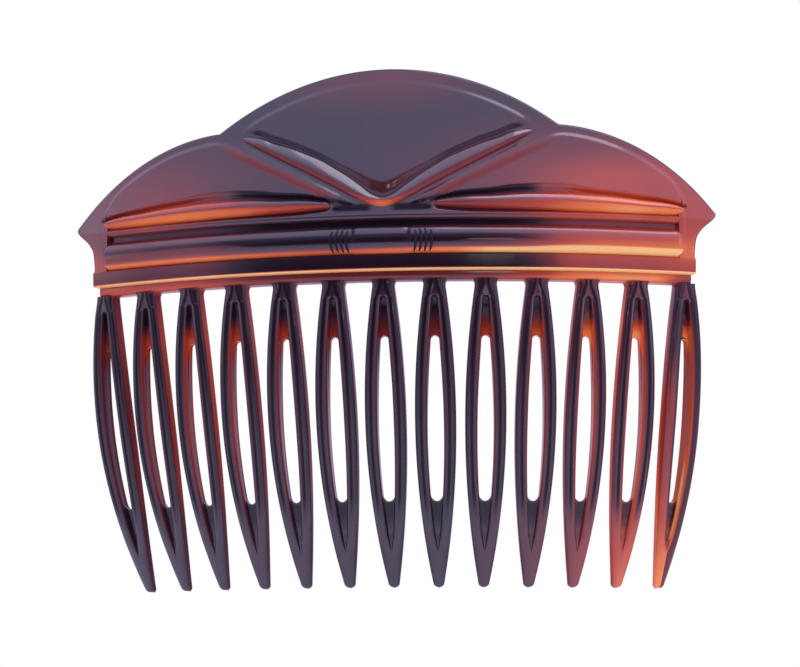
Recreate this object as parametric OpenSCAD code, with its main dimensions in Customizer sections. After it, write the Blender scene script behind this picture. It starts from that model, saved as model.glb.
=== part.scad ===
// Decorative curved hair comb: a three-lobed crest with a raised relief over a row of open teeth.
// It is one moulding, drawn here as its separate features, which meet face to face.
//
// The features are laid out on a flat pattern: s runs along the bar to the right, z runs up the
// comb, and d runs back from the front face. bend() rolls the pattern round the vertical axis of
// the bar's curve. The origin is the middle of the lip's flat underside, in front of the teeth.

/* [Curve] */
// Radius of the bar's front face, seen from above
front_r = 99; // [95:1:103]
// How far the crest leans back for each millimetre that it rises above the bar
crest_lean = 0.27; // [0.25:0.01:0.28]
// Radius of the teeth's inward curve, seen from the side
tooth_curve_r = 85; // [80:1:110]

/* [Bar] */
// Half the length of the bar, along its curve
bar_half_l = 42.9; // [42.8:0.1:43.2]
// Depth of the bar from its front face to its back
bar_d = 3.8; // [3.6:0.1:4.2]
// Height of the plain flange at the foot of the bar
flange_h = 2.0; // [1.8:0.1:2.2]
// Depth of the lip in front of the teeth, whose underside stops against the hair
lip_d = 1.2; // [1.0:0.1:1.3]
// Top of the bar, where the crest starts
bar_h = 7.6; // [7.5:0.1:7.7]
// Height and depth of the half-round bead along the bar
bead_h = 4.2; // [3.8:0.1:4.3]
bead_rise = 1.5; // [1.3:0.1:1.6]

/* [Crest] */
// Depth of the raised rim and ribs in front of the plate
relief_d = 1.0; // [0.8:0.1:1.2]
// Thickness of the plate behind the relief
plate_t = 1.6; // [1.4:0.1:1.8]
// Height of the comb's highest point above the bar's underside
apex_z = 28.9; // [28.5:0.1:29.4]
// Half the distance between the two notches where the lobes meet, and their height
notch_x = 23.3; // [23.1:0.1:23.6]
notch_z = 20.7; // [20.5:0.1:20.9]
// Half the distance between the pointed ears, and their height
ear_x = 43.8; // [43.7:0.1:43.9]
ear_z = 8.5; // [8.4:0.1:8.6]
// Width of the rim round the crest
rim_w = 1.5; // [1.2:0.1:1.6]
// How far the three panels stand in front of the rim
panel_rise = 0.2; // [0.1:0.05:0.3]

/* [Relief] */
// Half the span of the centre chevron, along the curve
chevron_half_l = 21.2; // [21:0.1:21.3]
// Height of the chevron's lowest point, at its lower edge
chevron_z = 8.6; // [8.5:0.1:8.7]
// Inner and outer ends of the leaf-shaped beads, along the curve
leaf_in = 6.7; // [6.6:0.1:6.9]
leaf_out = 41; // [40.5:0.1:41.1]
// Half the length of the smooth sleeve in the middle of the bar
sleeve_half_l = 4.0; // [3.6:0.1:4.2]

/* [Teeth] */
// Angle between neighbouring teeth, seen from above
tooth_pitch = 4.06; // [4:0.01:4.08]
// Distance from the bar's underside to the tips
tooth_l = 41.6; // [40:0.1:44]
// Widest half-width of a tooth, and its half-width at the root
tooth_half_w = 2.75; // [2.6:0.05:2.9]
root_half_w = 1.2; // [1.1:0.1:1.4]
// Half-width of the slot through a tooth
slot_half_w = 1.1; // [0.9:0.1:1.2]
// Thickness of a tooth at its middle
tooth_t = 2.3; // [2.0:0.1:2.4]
// Twist of the last tooth on the right about its own middle line
end_tooth_turn = 13; // [0:1:16]

/* [Hidden] */
$fn = 256;
TOOTH_COUNT = 13;
function tooth_name(i) = str("tooth_", i < 10 ? "0" : "", i);

DARK = [0.20, 0.09, 0.14];
PLUM = [0.36, 0.20, 0.27];
SLATE = [0.33, 0.30, 0.40];
RED = [0.55, 0.12, 0.08];
AMBER = [0.85, 0.38, 0.18];

axis_y = front_r - lip_d / 2;
bar_half_a = bar_half_l / front_r * 180 / PI;
// The bar's bead and web end at the stiles.
stile_in = 41.2;
stile_in_a = stile_in / front_r * 180 / PI;
stile_top = 9;
crest_top = 30;
overshoot = 1;

// The bar stands upright, and the crest leans back from its top.
function lean(z) = crest_lean * max(0, z - bar_h);

// A point of the flat pattern, on the curved and leaning comb.
function bend(s, z, d) =
    let (r = front_r - lean(z) - d, a = s / front_r * 180 / PI)
    [r * sin(a), axis_y - r * cos(a), z];

// A point of the comb's section, as radius and height, for the rings below.
function section(z, d) = [front_r - lean(z) - d, z];

// Part of a ring about the axis of the curve, from angle a0 to a1 counted from the middle.
module ring(a0, a1) {
    translate([0, axis_y, 0])
        rotate([0, 0, a0 - 90])
            rotate_extrude(angle = a1 - a0)
                children();
}

// The section of a wall between two heights and two depths, both on one side of the bar's top.
module wall(z0, z1, d0, d1) {
    polygon([section(z0, d1), section(z0, d0), section(z1, d0), section(z1, d1)]);
}

// The front view of a shape, pushed through the whole depth of the comb.
module through() {
    translate([0, axis_y, 0])
        rotate([90, 0, 0])
            linear_extrude(axis_y + 2 * bar_d)
                children();
}

// ---- Bar ----

module hair_stop_lip() {
    color(DARK)
        ring(-bar_half_a, bar_half_a)
            wall(0, flange_h, 0, lip_d);
}

module bar_flange() {
    color(DARK)
        ring(-bar_half_a, bar_half_a)
            wall(0, flange_h, lip_d, bar_d);
}

module bar_web() {
    color(PLUM)
        ring(-stile_in_a, stile_in_a)
            wall(flange_h, bar_h, relief_d, bar_d);
}

// The bead is the segment of a circle that stands in front of the web.
bead_z = flange_h + bead_h / 2;
bead_r = (pow(bead_h / 2, 2) + pow(bead_rise, 2)) / (2 * bead_rise);

module bead_section(extra) {
    lift = relief_d - bead_rise + bead_r;
    intersection() {
        translate(section(bead_z, lift)) circle(bead_r + extra);
        wall(flange_h, bar_h - 1, relief_d - 2 * bead_rise, relief_d);
    }
}

module bar_bead() {
    color(SLATE)
        ring(-stile_in_a, stile_in_a)
            bead_section(0);
}

module upper_bead() {
    upper_z0 = 6.7;
    upper_z1 = 7.4;
    upper_rise = 0.7;
    color(SLATE)
        ring(-stile_in_a, stile_in_a)
            wall(upper_z0, upper_z1, relief_d - upper_rise, relief_d);
}

// A thin band that wraps the bar's bead between two places along it.
module bead_band(s0, s1, extra) {
    ring(s0 / front_r * 180 / PI, s1 / front_r * 180 / PI)
        difference() {
            bead_section(extra);
            bead_section(0);
        }
}

module centre_sleeve() {
    color(SLATE) bead_band(-sleeve_half_l, sleeve_half_l, 0.2);
}

// Four narrow bands at each end of the sleeve.
module claws(side) {
    claw_w = 0.35;
    claw_pitch = 0.7;
    for (i = [0:3]) {
        start = sleeve_half_l + 0.4 + i * claw_pitch;
        color(SLATE)
            bead_band(min(side * start, side * (start + claw_w)),
                      max(side * start, side * (start + claw_w)), 0.25);
    }
}

module left_claws() { claws(-1); }
module right_claws() { claws(1); }

// ---- Crest ----

// Radius of the circle through the ends of a chord, which stands rise above it.
function arc_r(half_chord, rise) = (half_chord * half_chord + rise * rise) / (2 * rise);

dome_r = arc_r(notch_x, apex_z - notch_z);
lobe_rise = 2.8;
lobe_chord = [ear_x - notch_x, ear_z - notch_z];
lobe_r = arc_r(norm(lobe_chord) / 2, lobe_rise);
lobe_out = [-lobe_chord.y, lobe_chord.x] / norm(lobe_chord);
lobe_centre = [(ear_x + notch_x) / 2, (ear_z + notch_z) / 2] - lobe_out * (lobe_r - lobe_rise);

// Front view of the three lobes, with their edge moved in by inset.
module lobes(inset) {
    translate([0, apex_z - dome_r]) circle(dome_r - inset);
    for (side = [-1, 1])
        translate([side * lobe_centre.x, lobe_centre.y]) circle(lobe_r - inset);
}

// Front view of the crest from height z0 up.
module crest_outline(inset, z0) {
    intersection() {
        lobes(inset);
        translate([-ear_x - 1, z0]) square([2 * ear_x + 2, crest_top - z0]);
    }
}

// What the crest leaves free for a stile.
module stile_block() {
    for (side = [-1, 1])
        ring(side > 0 ? stile_in_a : -stile_in_a - 6, side > 0 ? stile_in_a + 6 : -stile_in_a) {
            wall(0, bar_h, -overshoot, bar_d + overshoot);
            wall(bar_h, stile_top, -overshoot, bar_d + overshoot);
        }
}

module crest_plate() {
    color(PLUM)
        difference() {
            intersection() {
                ring(-stile_in_a - 4, stile_in_a + 4)
                    wall(bar_h, crest_top, relief_d, relief_d + plate_t);
                through() crest_outline(0, bar_h);
            }
            stile_block();
        }
}

module crest_rim() {
    color(PLUM)
        intersection() {
            ring(-stile_in_a - 4, stile_in_a + 4)
                wall(stile_top, crest_top, 0, relief_d);
            through()
                difference() {
                    crest_outline(0, stile_top);
                    crest_outline(rim_w, stile_top - overshoot);
                }
        }
}

// Upright at the end of the bar, with the pointed ear at its top.
module stile(side) {
    foot_x = front_r * sin(bar_half_a);
    waist = [foot_x + 0.45, 5.7];
    scoop_r = 3.2;
    scoop = [ear_x + 1.35, ear_z - 2.9];
    color(PLUM)
        intersection() {
            ring(side > 0 ? stile_in_a : -stile_in_a - 5, side > 0 ? stile_in_a + 5 : -stile_in_a) {
                wall(flange_h, bar_h, 0, bar_d);
                wall(bar_h, stile_top, 0, relief_d + plate_t);
            }
            through()
                difference() {
                    intersection() {
                        lobes(0);
                        polygon([[side * 30, flange_h], [side * foot_x, flange_h],
                                 [side * waist.x, waist.y], [side * (ear_x + 1), waist.y],
                                 [side * (ear_x + 1), stile_top], [side * 30, stile_top]]);
                    }
                    translate([side * scoop.x, scoop.y]) circle(scoop_r);
                }
        }
}

module left_stile() { stile(-1); }
module right_stile() { stile(1); }

// ---- Relief on the panels ----

ROUND = [[-1, 0], [-0.92, 0.45], [-0.6, 0.85], [0, 1], [0.6, 0.85], [0.92, 0.45], [1, 0]];
FLAT = [[-1, 0], [-0.8, 1], [0.8, 1], [1, 0]];

// Closed solid through rings of n points each, listed ring after ring.
module loft(points, n) {
    rings = len(points) / n;
    polyhedron(points, concat(
        [[for (j = [0:n - 1]) j]],
        [[for (j = [n - 1:-1:0]) (rings - 1) * n + j]],
        [for (i = [0:rings - 2], j = [0:n - 1])
            let (a = i * n + j, b = i * n + (j + 1) % n)
            each [[a, a + n, b], [b, a + n, b + n]]]));
}

// A raised strip on the panels. Each station is [s, z, half-width, height, tilt of its section].
module strip(stations, profile) {
    loft([for (k = stations, p = profile)
              bend(k[0] - p[0] * k[2] * sin(k[4]), k[1] + p[0] * k[2] * cos(k[4]),
                   relief_d - p[1] * k[3])],
         len(profile));
}

// Crown near the lower edge, with a long slope above it.
LOPSIDED = [[-1, 0], [-0.88, 0.5], [-0.6, 0.9], [-0.3, 1], [0.1, 0.86], [0.6, 0.45], [1, 0]];

chevron_steps = 26;
// Heights of the chevron's two edges above its lowest point, against the distance along the curve.
chevron_edge_low = [[0, 0], [1, 0.15], [2.8, 0.9], [6.4, 2.9], [10.8, 5.3], [16, 8.1], [19.5, 10],
                    [20.8, 10.8], [21.3, 11.2]];
chevron_edge_high = [[0, 1.75], [1, 2.05], [2.8, 3.25], [6.4, 5.75], [10.8, 8.2], [16, 10.3],
                     [19, 11.35], [20.6, 11.5], [21.3, 11.3]];
function chevron_low(s) = chevron_z + lookup(abs(s), chevron_edge_low);
function chevron_high(s) = chevron_z + lookup(abs(s), chevron_edge_high);

module centre_chevron() {
    color(RED)
        strip([for (i = [0:chevron_steps])
                   let (s = chevron_half_l * sin(90 * (2 * i / chevron_steps - 1)),
                        low = chevron_low(s), high = max(low + 0.2, chevron_high(s)))
                   [s, (low + high) / 2, (high - low) / 2, min(1.4, 0.62 * (high - low)), 0]],
              LOPSIDED);
}

// Raised land beside the chevron. It narrows and rises from the notch down to the bar.
module rib(side) {
    rib_steps = 10;
    rib_low = [4.7, 9.7];
    rib_high = [22.6, 18.9];
    low_half_w = 0.35;
    high_half_w = 0.75;
    rib_rise = 0.45;
    tilt = atan((rib_high.y - rib_low.y) / (rib_high.x - rib_low.x));
    stations = [for (i = [0:rib_steps])
                    let (u = i / rib_steps, p = rib_low + u * (rib_high - rib_low))
                    [p.x, p.y, low_half_w + u * (high_half_w - low_half_w),
                     relief_d + rib_rise * (1 - pow(u, 4)), tilt]];
    color(SLATE)
        if (side > 0) strip(stations, FLAT);
        else mirror([1, 0, 0]) strip(stations, FLAT);
}

module left_rib() { rib(-1); }
module right_rib() { rib(1); }

leaf_steps = 20;
// Heights of the leaf's two edges and of the panel's edge above it, against the distance along.
leaf_edge_low = [[6.6, 8.85], [8, 8.6], [14.6, 8.25], [23, 8.05], [29, 7.95], [36, 7.9], [41.2, 8]];
leaf_edge_high = [[6.6, 8.95], [8, 9.75], [14.6, 10.3], [19, 10.6], [23, 10.7], [29, 10.5],
                  [36, 9.95], [41.2, 9.3]];
panel_edge = [[6.9, 9.9], [8.8, 10.15], [14.6, 11.1], [19, 11.75], [23.5, 11.95], [29, 11.35],
              [36, 10.6], [41.2, 9.9]];
// The outer end is blunt and round, and the inner end is pointed.
function leaf_end(u) = sqrt(max(0.04, 1 - pow(max(0, u - 0.97) / 0.03, 2)));

module leaf(side) {
    stations = [for (i = [0:leaf_steps])
                    let (u = pow(i / leaf_steps, 0.9), s = leaf_in + u * (leaf_out - leaf_in),
                         low = lookup(s, leaf_edge_low), high = lookup(s, leaf_edge_high),
                         half_w = max(0.1, (high - low) / 2 * leaf_end(u)))
                    [s, (high + low) / 2, half_w, min(1.3, 1.15 * half_w), 0]];
    color(AMBER)
        if (side > 0) strip(stations, ROUND);
        else mirror([1, 0, 0]) strip(stations, ROUND);
}

module left_leaf() { leaf(-1); }
module right_leaf() { leaf(1); }

// ---- Panels, which fill the relief between the rim, the ribs and the beads ----

panel_steps = 16;
// Front view of a place on the leaning front face.
function seen(s, z) = [(front_r - lean(z)) * sin(s / front_r * 180 / PI), z];
// Height of the valley between the chevron and the panel above it.
function valley_h(s) = 0.35 + 1.8 * exp(-pow(s / 4.2, 2));

module panel_plate() {
    ring(-stile_in_a, stile_in_a)
        wall(bar_h, crest_top, -panel_rise, relief_d);
}

module centre_panel() {
    reach = 19.6;
    valley_edge = [for (i = [-panel_steps:panel_steps])
                       let (s = reach * i / panel_steps)
                       seen(s, chevron_high(s) + valley_h(s))];
    color(PLUM)
        intersection() {
            panel_plate();
            through()
                intersection() {
                    translate([0, apex_z - dome_r]) circle(dome_r - rim_w);
                    polygon(concat(valley_edge, [[notch_x, crest_top], [-notch_x, crest_top]]));
                }
        }
}

module side_panel(side) {
    lobe_rim_w = 1.1;
    border_low = [6.9, 10.1];
    border_high = [23.6, 18.4];
    leaf_edge = [for (i = [0:panel_steps])
                     let (s = border_low.x + i / panel_steps * (stile_in - border_low.x))
                     seen(s, lookup(s, panel_edge))];
    color(PLUM)
        mirror([side > 0 ? 0 : 1, 0, 0])
            intersection() {
                panel_plate();
                through()
                    intersection() {
                        translate(lobe_centre) circle(lobe_r - lobe_rim_w);
                        polygon(concat(leaf_edge, [seen(stile_in, crest_top),
                                                   seen(border_high.x, crest_top),
                                                   seen(border_high.x, border_high.y)]));
                    }
            }
}

module left_panel() { side_panel(-1); }
module right_panel() { side_panel(1); }

// ---- Teeth ----

rail_h = 1.2;
rail_front_d = lip_d + 0.1;
rail_back_d = 3.6;

module tooth_rail() {
    color(RED)
        ring(-bar_half_a, bar_half_a)
            wall(-rail_h, 0, rail_front_d, rail_back_d);
}

tooth_mid_d = (rail_front_d + rail_back_d) / 2;
widest_h = 19.5;
slot_mid_h = 21;
slot_up = 12.6;
slot_down = 9.3;
tip_r = 0.85;

// Everything about a tooth is a function of h, the distance below the bar's underside.
function side_curve(h) = tooth_curve_r - sqrt(tooth_curve_r * tooth_curve_r - h * h);
function slot_w(h) =
    let (x = h < slot_mid_h ? (slot_mid_h - h) / slot_up : (h - slot_mid_h) / slot_down)
    x < 1 ? slot_half_w * (1 - 0.42 * x * x) * sqrt(1 - pow(x, 8)) : 0;
function blade_w(h) =
    h < widest_h
    ? tooth_half_w - (tooth_half_w - root_half_w) * pow((widest_h - h) / widest_h, 2)
    : tooth_half_w - 2.12 * pow((h - widest_h) / (tooth_l - widest_h), 2.1);
function tip_round(h) =
    let (x = (h - (tooth_l - tip_r)) / tip_r) x > 0 ? tip_r * sqrt(1 - x * x) : tooth_half_w;
function half_w(h) = min(blade_w(h), tip_round(h));
function thick(h) =
    tooth_t - (h < slot_mid_h ? 0 : 1.2 * pow((h - slot_mid_h) / (tooth_l - slot_mid_h), 1.5));
// The twist is nothing at the root and full from twist_h down.
twist_h = 20;
function twist(h) = let (x = min(1, h / twist_h)) end_tooth_turn * x * x * (3 - 2 * x);
// The two ridges run into one below the slot.
function ridge_x(h) =
    let (w = half_w(h), merge = min(1, max(0, (38 - h) / 7)))
    max((w + slot_w(h)) / 2 * merge, 0.35 * w);
// Depth of the valley between the ridges.
function valley(h) =
    let (g = slot_w(h))
    g > 0 ? 1.1 - 0.35 * g / slot_half_w
          : h < slot_mid_h ? 1.1 * max(0, (h - 3.6) / (slot_mid_h - slot_up - 3.6))
                           : 1.1 * max(0, (37.2 - h) / (37.2 - slot_mid_h - slot_down));

tooth_h = [rail_h, 3.6, 6, 8.4, 8.8, 10, 12, 15, 18, 21, 24, 26.5, 28.5, 29.8, 30.3, 32, 34, 36,
           37.2, 39.5, tooth_l - 0.85, tooth_l - 0.35, tooth_l - 0.05];
ROWS = len(tooth_h);
SIDES = 7;

// Half of a tooth's section: up the inner bevel, over the ridge, and round the outside to the back.
function half_section(h, side, turn) =
    let (w = half_w(h), g = slot_w(h), c = ridge_x(h), t = thick(h), flat = min(0.3, 0.3 * c),
         bevel = 0.32 * t)
    [for (p = [[g, valley(h)], [c - flat, 0], [c + flat, 0], [w, bevel], [w, t - bevel / 2],
               [w * 0.85, t], [g, t]])
        let (x = side * p[0], y = p[1] - t / 2)
        [x * cos(turn) - y * sin(turn),
         tooth_mid_d + side_curve(h) + x * sin(turn) + y * cos(turn),
         -h]];

function is_split(i) = slot_w(tooth_h[i]) > 0;
// Both halves share the points on the middle line, wherever the slot is closed.
function corner(half, i, j) =
    (half == 1 && (is_split(i) || (j > 0 && j < SIDES - 1)) ? ROWS * SIDES : 0) + i * SIDES + j;
function quad(half, i, j, k) =
    let (a = corner(half, i, j), b = corner(half, i, k),
         c = corner(half, i + 1, k), d = corner(half, i + 1, j))
    half == 0 ? [[a, b, c], [a, c, d]] : [[a, c, b], [a, d, c]];

module tooth_blank(twisted) {
    skin = [for (half = [0, 1], i = [0:ROWS - 2], j = [0:SIDES - 2]) each quad(half, i, j, j + 1)];
    slot = [for (half = [0, 1], i = [0:ROWS - 2]) if (is_split(i) || is_split(i + 1))
                each quad(half, i, SIDES - 1, 0)];
    top = concat([for (j = [SIDES - 1:-1:0]) corner(0, 0, j)], [for (j = [1:SIDES - 2]) corner(1, 0, j)]);
    // Both caps fan out from the middle of the back, so that none of their triangles is flat.
    tip = concat([for (j = [SIDES - 1:-1:1]) corner(1, ROWS - 1, j)],
                 [for (j = [0:SIDES - 2]) corner(0, ROWS - 1, j)]);
    polyhedron([for (side = [1, -1], h = tooth_h) each half_section(h, side, twisted ? twist(h) : 0)],
               concat(skin, slot, [top, tip]));
}

// Tooth i, counted from the left, at its place along the rail.
module tooth(i) {
    color(DARK)
        translate([0, axis_y, 0])
            rotate([0, 0, (i - (TOOTH_COUNT + 1) / 2) * tooth_pitch])
                translate([0, -front_r, 0])
                    tooth_blank(i == TOOTH_COUNT);
}

hair_stop_lip();
bar_flange();
bar_web();
bar_bead();
upper_bead();
centre_sleeve();
left_claws();
right_claws();
left_stile();
right_stile();
crest_plate();
crest_rim();
left_rib();
right_rib();
centre_panel();
left_panel();
right_panel();
centre_chevron();
left_leaf();
right_leaf();
tooth_rail();
for (i = [1:TOOTH_COUNT]) tooth(i);
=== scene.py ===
"""Decorative hair comb: the looks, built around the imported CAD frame.

The comb is laid out on a flat pattern in millimetres, as its CAD is: s runs along the bar, z runs
up the comb and d runs back from the front face. bend() rolls the pattern round the head.
"""

from math import cos, pi, radians, sin

import bmesh
import bpy
import numpy as np
from mathutils import Matrix, Vector


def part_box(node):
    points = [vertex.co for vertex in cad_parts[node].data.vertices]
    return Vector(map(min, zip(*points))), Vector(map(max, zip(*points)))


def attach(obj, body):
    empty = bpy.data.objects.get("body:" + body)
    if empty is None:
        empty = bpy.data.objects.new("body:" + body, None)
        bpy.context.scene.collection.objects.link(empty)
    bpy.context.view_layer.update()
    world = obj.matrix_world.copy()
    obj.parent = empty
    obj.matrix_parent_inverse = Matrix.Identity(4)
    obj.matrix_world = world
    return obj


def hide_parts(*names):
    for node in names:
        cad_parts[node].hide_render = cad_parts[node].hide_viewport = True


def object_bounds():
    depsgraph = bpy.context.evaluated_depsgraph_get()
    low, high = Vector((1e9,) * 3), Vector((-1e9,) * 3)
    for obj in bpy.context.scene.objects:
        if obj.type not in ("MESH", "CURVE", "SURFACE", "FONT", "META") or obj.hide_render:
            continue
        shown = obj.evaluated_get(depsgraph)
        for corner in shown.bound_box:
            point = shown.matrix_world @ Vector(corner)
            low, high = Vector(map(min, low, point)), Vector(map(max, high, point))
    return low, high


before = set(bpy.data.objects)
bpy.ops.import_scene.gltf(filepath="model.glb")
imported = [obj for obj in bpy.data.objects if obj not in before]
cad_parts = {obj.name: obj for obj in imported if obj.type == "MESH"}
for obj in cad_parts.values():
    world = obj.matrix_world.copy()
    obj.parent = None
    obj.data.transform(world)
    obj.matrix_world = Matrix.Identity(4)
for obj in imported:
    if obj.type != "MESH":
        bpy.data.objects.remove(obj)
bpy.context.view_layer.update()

MM = 0.001
BODY = "root"


# ---- Driving dimensions, in millimetres ----

# Curves: the bar's front face from above, the teeth from the side, and how far the crest leans
# back for each millimetre up
FRONT_R = 99.0
TOOTH_CURVE_R = 85.0
CREST_LEAN = 0.27

# The bar, from the lip up
BAR_HALF = 42.9
BAR_D = 3.8
LIP_D = 1.2
FLANGE_H = 2.0
BAR_H = 7.6

# The uprights at the bar's ends, with their waist and pointed ear
STILE_IN = 41.2
STILE_TOP = 9.0
WAIST_Z, WAIST_FLARE = 5.7, 0.5
EAR_S, EAR_Z = 46.25, 8.5

# The crest
PLATE_BACK = 2.6
APEX_Z = 28.95
NOTCH_S, NOTCH_Z = 24.57, 20.7

# Middle of the circle that the bar follows
AXIS_Y = FRONT_R - LIP_D / 2


# ---- Camera ----

LENS = 119.6
CAMERA_DISTANCE = 354.5
CAMERA_AZIMUTH = radians(7.30)
CAMERA_ELEVATION = radians(-8.38)
CAMERA_ROLL = radians(-0.09)
AIM_RIGHT, AIM_UP = 2.50, -8.52


def make_camera():
    """The camera looks slightly up at the front of the bar, from a little to the right."""
    back = Vector((sin(CAMERA_AZIMUTH) * cos(CAMERA_ELEVATION),
                   -cos(CAMERA_AZIMUTH) * cos(CAMERA_ELEVATION),
                   sin(CAMERA_ELEVATION)))
    right = Vector((0, 0, 1)).cross(back).normalized()
    up = back.cross(right)
    rolled_right = cos(CAMERA_ROLL) * right + sin(CAMERA_ROLL) * up
    rolled_up = cos(CAMERA_ROLL) * up - sin(CAMERA_ROLL) * right
    bar_front = Vector((0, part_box("hair_stop_lip")[0].y, 0))
    place = bar_front + MM * (AIM_RIGHT * rolled_right + AIM_UP * rolled_up + CAMERA_DISTANCE * back)
    camera = bpy.data.objects.new("camera", bpy.data.cameras.new("camera"))
    camera.data.lens = LENS
    camera.data.sensor_width = 36
    camera.data.clip_start = 0.01
    axes = Matrix((rolled_right, rolled_up, back)).transposed().to_4x4()
    camera.matrix_world = Matrix.Translation(place) @ axes
    bpy.context.scene.collection.objects.link(camera)
    bpy.context.scene.camera = camera


make_camera()


# ---- The flat pattern ----

def bend(s, z, d):
    """Points of the flat pattern, on the curved comb whose crest leans back, in metres."""
    lean = CREST_LEAN * np.maximum(0, z - BAR_H)
    r = FRONT_R - lean - d
    a = s / FRONT_R
    return np.stack([r * np.sin(a), AXIS_Y - r * np.cos(a), z + 0 * r], axis=-1) * MM


def smooth(x):
    """A step from 0 to 1 with a soft start and finish."""
    x = np.clip(x, 0, 1)
    return x * x * (3 - 2 * x)


def quarter(x):
    """A rise from 0 to 1 along a quarter circle, upright at its start."""
    x = np.clip(x, 0, 1)
    return np.sqrt(1 - (1 - x) ** 2)


def blend_min(a, b, k):
    """The smaller of two distances, rounded over k where they are close."""
    h = np.clip(0.5 + 0.5 * (b - a) / k, 0, 1)
    return b + (a - b) * h - k * h * (1 - h)


def through(points):
    """A smooth curve through points, level where they start at 0, since it is mirrored there."""
    x, y = np.array(points, float).T
    rise = np.diff(y) / np.diff(x)
    product = rise[:-1] * rise[1:]
    inner = np.where(product > 0, 2 * product / np.where(product > 0, rise[:-1] + rise[1:], 1), 0)
    slope = np.concatenate([[rise[0] if x[0] else 0], inner, [rise[-1]]])

    def curve(s):
        s = np.clip(s, x[0], x[-1])
        i = np.clip(np.searchsorted(x, s, side="right") - 1, 0, len(x) - 2)
        w = x[i + 1] - x[i]
        t = (s - x[i]) / w
        start = y[i] + t * w * slope[i]
        end = y[i + 1] - (1 - t) * w * slope[i + 1]
        return start + (end - start) * t * t * (3 - 2 * t)

    return curve


def arc_r(half_chord, rise):
    """Radius of the arc that rises this much over a chord."""
    return (half_chord ** 2 + rise ** 2) / (2 * rise)


DOME_R = arc_r(NOTCH_S, APEX_Z - NOTCH_Z)
DOME_Z = APEX_Z - DOME_R
LOBE_RISE = 2.95
LOBE_CHORD = np.array([EAR_S - NOTCH_S, EAR_Z - NOTCH_Z])
LOBE_R = arc_r(np.linalg.norm(LOBE_CHORD) / 2, LOBE_RISE)
LOBE_OUT = np.array([-LOBE_CHORD[1], LOBE_CHORD[0]]) / np.linalg.norm(LOBE_CHORD)
LOBE_S, LOBE_Z = (np.array([(EAR_S + NOTCH_S) / 2, (EAR_Z + NOTCH_Z) / 2])
                  - LOBE_OUT * (LOBE_R - LOBE_RISE))


def outline(s):
    """Height of the crest's top edge above place s along the bar."""
    s = np.abs(s)
    dome = DOME_Z + np.sqrt(np.maximum(DOME_R ** 2 - s ** 2, 0))
    lobe = LOBE_Z + np.sqrt(np.maximum(LOBE_R ** 2 - (s - LOBE_S) ** 2, 0))
    return np.where(s < NOTCH_S, dome, lobe)


def edge_distance(s, z):
    """Distance in from the crest's top edge."""
    s = np.abs(s)
    dome = DOME_R - np.hypot(s, z - DOME_Z)
    lobe = LOBE_R - np.hypot(s - LOBE_S, z - LOBE_Z)
    return np.maximum(dome, lobe)


# ---- Painted glow and shade, with the plastic's own amber ----

def blob(x, z, place_x, place_z, wide, tall):
    """A soft spot, 1 in its middle. It is a band where x or z and its place are given as 0."""
    return np.exp(-((x - place_x) / wide) ** 2 - ((z - place_z) / tall) ** 2)


def front_amber_and_glow(x, z):
    """How much amber the front faces show, in soft patches along the comb: partly the plastic's own
    amber, partly painted glow of light coming through it.
    """
    crest = (0.13 * blob(x, z, 0, 28, 15, 4) + 0.24 * blob(x, z, -32, 11, 12, 7)
             + 0.42 * blob(x, z, 31, 12, 18, 7) + 0.24 * blob(x, z, 43, 5, 4, 6)
             + 0.22 * blob(x, z, -43, 3, 3, 5))
    bar = (0.40 * blob(0, z, 0, 2, 1, 3.5) * smooth((x - 12) / 14)
           + 0.24 * blob(0, z, 0, 2, 1, 2.5) * smooth((-x - 16) / 12))
    rail = 0.45 * blob(0, z, 0, -0.7, 1, 0.55) * smooth((np.abs(x) - 12) / 20) * smooth((41 - x) / 5)
    teeth = 0.75 * blob(x, z, 37, -42, 13, 11) + 0.16 * blob(x, z, 30, -15, 14, 18)
    teeth = teeth + 0.36 * blob(x, z, 42, -24, 3.5, 13)
    return 0.15 + crest * smooth((z + 1) / 2) + bar + rail + teeth


def painted_glow_amber(x, z):
    """Painted glow: how much amber is painted where light comes through the edges, undersides and slots.
    """
    crest = (0.45 * blob(x, z, 33, 7.5, 15, 6) + 0.31 * blob(x, z, -29, 8.6, 18, 3.5)
             + 0.36 * blob(x, z, 0, 9, 3, 1.6))
    along = (0.34 - 0.06 * blob(x, 0, -14, 0, 8, 1) + 0.20 * blob(x, 0, 20, 0, 12, 1)
             + 0.10 * blob(x, 0, -38, 0, 14, 1))
    bar = along * blob(0, z, 0, 2.4, 1, 1.7)
    ledge = (0.62 + 0.14 * blob(x, 0, 25, 0, 10, 1)) * blob(0, z, 0, 0, 1, 0.6)
    across = np.minimum(np.abs(x) / 28, 1)
    teeth = (0.20 * blob(0, z, 0, -7, 1, 3.5) * (0.3 + 0.7 * across - 0.6 * smooth((-x - 12) / 8))
             + 0.20 * blob(x, z, -25, -16, 11, 14) + 0.33 * blob(x, z, 34, -20, 15, 20)
             + 0.30 * blob(x, z, 38, -34, 7, 8) - 0.16 * blob(x, z, -42, -24, 5, 22)
             - 0.14 * blob(x, 0, 0, 0, 14, 1) * smooth(-z / 3)
             - 0.20 * smooth((-z - 27) / 6) * smooth((30 - x) / 10))
    rail = 0.30 * blob(0, z, 0, -0.85, 1, 0.4) * smooth((np.abs(x + 4) - 8) / 18) * smooth((41 - x) / 5)
    end = 0.28 * blob(x, z, 42, -0.9, 4, 0.5)
    return 0.40 + crest + np.maximum(np.maximum(bar, ledge), rail) + teeth - end


# ---- Mesh building ----

BEAD_SUNK = 0.6


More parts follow.
